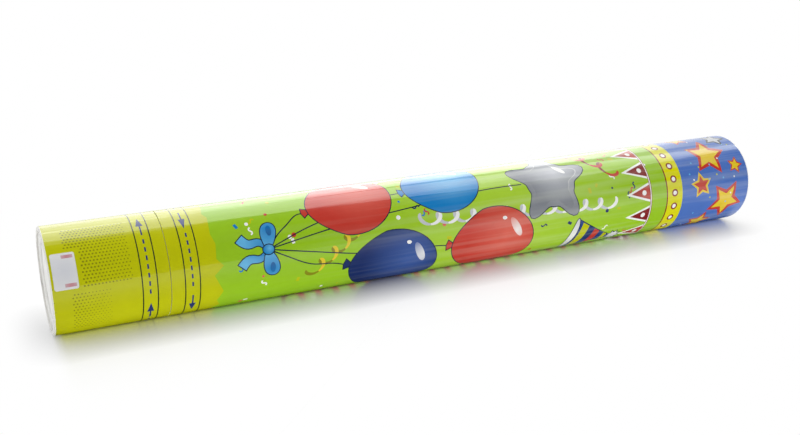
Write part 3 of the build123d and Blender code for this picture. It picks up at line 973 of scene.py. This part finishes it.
finishes = dict(
    whitePlastic=dict(
        tones=((226, 226, 222), (240, 240, 237)), cloud=120.0, grain=1400.0, rough=(0.34, 0.46), bump=0.08,
        nodes=("end_cap", "valve_cage")),
    naturalPlastic=dict(
        tones=((214, 210, 196), (230, 227, 216)), cloud=150.0, grain=1100.0, rough=(0.3, 0.44), bump=0.08,
        stretch=(0.4, 1, 1), nodes=("barrel_bush", "valve_seat")),
    greyPlastic=dict(
        tones=((108, 111, 116), (130, 133, 138)), cloud=140.0, grain=1500.0, rough=(0.36, 0.5), bump=0.1,
        stretch=(0.5, 1, 1), nodes=("grip_core",)),
    darkPlastic=dict(
        tones=((38, 38, 41), (58, 58, 62)), cloud=160.0, grain=1500.0, rough=(0.32, 0.48), bump=0.1,
        nodes=("cam_collar", "release_plug")),
    drawnAluminium=dict(
        tones=((206, 208, 212), (232, 233, 236)), cloud=60.0, grain=900.0, rough=(0.2, 0.38), bump=0.06,
        stretch=(0.04, 1, 1), metal=1.0, nodes=("air_cylinder", "crimp_ferrule")),
    groundSteel=dict(
        tones=((150, 152, 156), (196, 198, 202)), cloud=300.0, grain=2600.0, rough=(0.22, 0.4), bump=0.08,
        stretch=(0.1, 1, 1), metal=1.0, nodes=("retaining_ring", "cross_pin")),
    mouldedRubber=dict(
        tones=((26, 26, 27), (46, 46, 47)), cloud=400.0, grain=2400.0, rough=(0.55, 0.75), bump=0.2,
        spec=0.35, nodes=("fill_plug", "spigot_ring", "neck_gasket", "plug_ring")),
    pressedFelt=dict(
        tones=((132, 128, 120), (178, 174, 166)), cloud=700.0, grain=3800.0, rough=(0.85, 0.98), bump=0.6,
        stretch=(1, 0.5, 1), spec=0.2, sheen=0.4, nodes=("base_pad",)),
    greyBoard=dict(
        tones=((150, 145, 136), (190, 186, 178)), cloud=260.0, grain=2600.0, rough=(0.74, 0.92), bump=0.3,
        stretch=(1, 0.5, 1), spec=0.3, nodes=("pusher_wad", "muzzle_cover")),
)


def pieceFinish(name, look):
    material, tree, shader = newFinish(name)
    stretch = look.get("stretch", (1, 1, 1))
    cloud = noise(tree, look["cloud"], stretch, detail=4.0, rough=0.6)
    grain = noise(tree, look["grain"], stretch, detail=5.0, rough=0.7)
    mottle = spread(tree, weighed(tree, cloud, grain), 0.0, 1.0, 0.3, 0.7)
    feed(tree, shader, {
        "Base Color": mixInk(tree, mottle, *[rgba(tone) for tone in look["tones"]]),
        "Roughness": spread(tree, grain, *look["rough"], 0.25, 0.75),
        "Normal": bumpFrom(tree, grain, look["bump"], 0.0002),
        "Specular IOR Level": look.get("spec", 0.5), "Metallic": look.get("metal", 0.0),
        "Sheen Weight": look.get("sheen", 0.0),
    })
    return material


for name, look in finishes.items():
    material = pieceFinish(name, look)
    for node in look["nodes"]:
        for place in cadNodes[node].material_slots:
            place.material = material
print("finishes given:", len(finishes))

# stage: a white sweep, soft boxes, and cards that only show in the gloss

stage = dict(
    floorSize=60.0, floorTone=(0.925, 0.935), floorCloud=3.0, floorRough=0.28, floorIor=4.4,
    # the floor's glow carries a painted contact shadow, and for glossy rays a painted shade near the tube's
    # foot
    shadowReach=0.195, shadowStart=0.006, shadowFade=0.018, endFall=8.0, paintedShadowReach=0.021, paintedShadowTone=0.32,
    reflectedShadeStart=0.036, reflectedShadeFade=0.07, worldLight=0.43,
    flag=dict(radius=1.6, reach=4.0, angles=(2.0, 96.0), steps=25, tone=0.02),
)
matteOnly, glossOnly = ("glossy", "camera"), ("diffuse", "camera")
lamps = dict(
    overhead=dict(place=(0.28, 0.42, 1.02), aim=(0.05, 0.02, 0.03), size=(1.7, 0.62), power=9.3, hides=()),
    lowFill=dict(
        place=(0.15, -0.75, 0.04), aim=(0.0, 0.0, 0.012), size=(1.6, 0.10), power=3.1, hides=matteOnly),
    underGlow=dict(
        place=(0.0, -0.030, 0.001), aim=(0.0, -0.029, 0.10), size=(0.40, 0.05), power=0.036, hides=matteOnly),
    left=dict(
        place=(-1.30, 0.10, 0.50), aim=(-0.2, 0.0, 0.02), size=(0.8, 0.8), power=5.2, hides=("glossy",)),
    backCard=dict(
        place=(0.325, 0.92, 0.74), aim=(0.325, 0.0, 0.03), size=(1.65, 0.42), power=8.1, ends=(0.2, 0.45),
        hides=glossOnly),
    lowCard=dict(
        place=(0.325, 1.08, 0.32), aim=(0.325, 0.0, 0.03), size=(1.65, 0.46), power=5.3, ends=(0.2, 0.45),
        hides=glossOnly),
)


# a card that dims towards its two ends
def fadeEnds(tree, near, far):
    across = split(tree, addNode(tree, "ShaderNodeNewGeometry").outputs["Parametric"])[0]
    rise, fall = spread(tree, across, 0.0, 1.0, 0.0, near), spread(tree, across, 0.0, 1.0, 1.0, 1.0 - far)
    feed(tree, tree.nodes["Emission"], {"Strength": times(tree, rise, fall)})


def softBox(name, look):
    data = bpy.data.lights.new(name, "AREA")
    data.shape = "RECTANGLE"
    data.size, data.size_y = look["size"]
    data.energy = look["power"]
    box = bpy.data.objects.new(name, data)
    box.location = look["place"]
    aim = Vector(look["aim"]) - Vector(look["place"])
    box.rotation_euler = aim.to_track_quat("-Z", "Y").to_euler()
    for kind in look["hides"]:
        setattr(box, "visible_" + kind, False)
    if "ends" in look:
        data.use_nodes = True
        fadeEnds(data.node_tree, *look["ends"])
    scene.collection.objects.link(box)


def anyRay(tree, *kinds):
    path = addNode(tree, "ShaderNodeLightPath")
    seen, *others = [path.outputs["Is " + kind + " Ray"] for kind in kinds]
    for other in others:
        seen = mathNode(tree, "MAXIMUM", seen, other)
    return seen


# the sweep keeps the shadow near the object and goes to plain white farther out
def floorFinish():
    look = stage
    material, tree, shader = newFinish("whiteSweep")
    tone = greyInk(tree, spread(tree, noise(tree, look["floorCloud"], detail=2.0), *look["floorTone"]))
    feed(tree, shader, {"Base Color": tone, "Roughness": look["floorRough"], "IOR": look["floorIor"]})
    x, y = split(tree, objectPlace(tree))[:2]
    past = mathNode(tree, "SUBTRACT", mathNode(tree, "ABSOLUTE", x), look["shadowReach"])
    past = times(tree, mathNode(tree, "MAXIMUM", past, 0.0), look["endFall"])
    away = hypotenuse(tree, past, y)
    faded = mathNode(tree, "MAXIMUM", mathNode(tree, "SUBTRACT", away, look["shadowStart"]), 0.0)
    faded = mathNode(tree, "EXPONENT", mathNode(tree, "DIVIDE", faded, -look["shadowFade"]))
    plain = mathNode(tree, "SUBTRACT", 1.0, faded)
    plain = times(tree, anyRay(tree, "Camera", "Transmission"), plain)
    # painted shadow: ambient occlusion dims the glow so it is greyer beside the object, and glossy rays see
    # painted shade, darker still where the gloss reflects the tube's foot
    glossy = anyRay(tree, "Glossy")
    paintedShadowOcclusion = addNode(tree, "ShaderNodeAmbientOcclusion")
    feed(tree, paintedShadowOcclusion, {"Distance": look["paintedShadowReach"]})
    paintedShadow = spread(tree, paintedShadowOcclusion.outputs["AO"], look["paintedShadowTone"], 1.0)
    paintedShadow = times(tree, paintedShadow, mathNode(tree, "SUBTRACT", 1.0, glossy))
    paintedReflectedShade = spread(tree, away, 0.0, 1.0, look["reflectedShadeStart"], look["reflectedShadeStart"] + look["reflectedShadeFade"])
    paintedReflectedShade = times(tree, paintedReflectedShade, glossy)
    glow, mix = addNode(tree, "ShaderNodeEmission"), addNode(tree, "ShaderNodeMixShader")
    feed(tree, glow, {"Strength": mathNode(tree, "ADD", paintedShadow, paintedReflectedShade)})
    feed(tree, mix, {0: mathNode(tree, "MAXIMUM", plain, glossy), 1: shader.outputs[0], 2: glow.outputs[0]})
    feed(tree, tree.nodes["Material Output"], {"Surface": mix.outputs[0]})
    return material


def flagFinish():
    material, tree = newFinish("darkFlag")[:2]
    glow = addNode(tree, "ShaderNodeEmission")
    feed(tree, glow, {"Strength": stage["flag"]["tone"]})
    feed(tree, tree.nodes["Material Output"], {"Surface": glow.outputs[0]})
    return material


def stageSheet(name, verts, faces, material):
    mesh = bpy.data.meshes.new(name)
    mesh.from_pydata(verts, [], faces)
    mesh.materials.append(material)
    return linked(name, mesh)


half = stage["floorSize"] / 2
floorCorners = [(*corner, 0) for corner in oblong(-half, half, -half, half).tolist()]
floor = stageSheet("floor", floorCorners, [(0, 1, 2, 3)], floorFinish())

# the flag arches over the front, from the floor to above the tube
reach, radius = stage["flag"]["reach"], stage["flag"]["radius"]
arch = [math.radians(a) for a in np.linspace(*stage["flag"]["angles"], stage["flag"]["steps"])]
archPoints = [(x, -radius * math.cos(a), radius * math.sin(a)) for a in arch for x in (-reach, reach)]
archFaces = [(i, i + 1, i + 3, i + 2) for i in range(0, len(archPoints) - 2, 2)]
flag = stageSheet("flag", archPoints, archFaces, flagFinish())
for kind in ("camera", "diffuse", "transmission", "volume_scatter", "shadow"):
    setattr(flag, "visible_" + kind, False)

for name, look in lamps.items():
    softBox(name, look)

world = bpy.data.worlds.new("studio")
scene.world = world
world.use_nodes = True
sky = world.node_tree
seen = times(sky, anyRay(sky, "Camera", "Glossy", "Transmission"), 1.0 - stage["worldLight"])
strength = mathNode(sky, "ADD", seen, stage["worldLight"])
feed(sky, sky.nodes["Background"], {"Color": (1, 1, 1, 1), "Strength": strength})
scene.view_settings.view_transform = "Standard"
print("stage set")
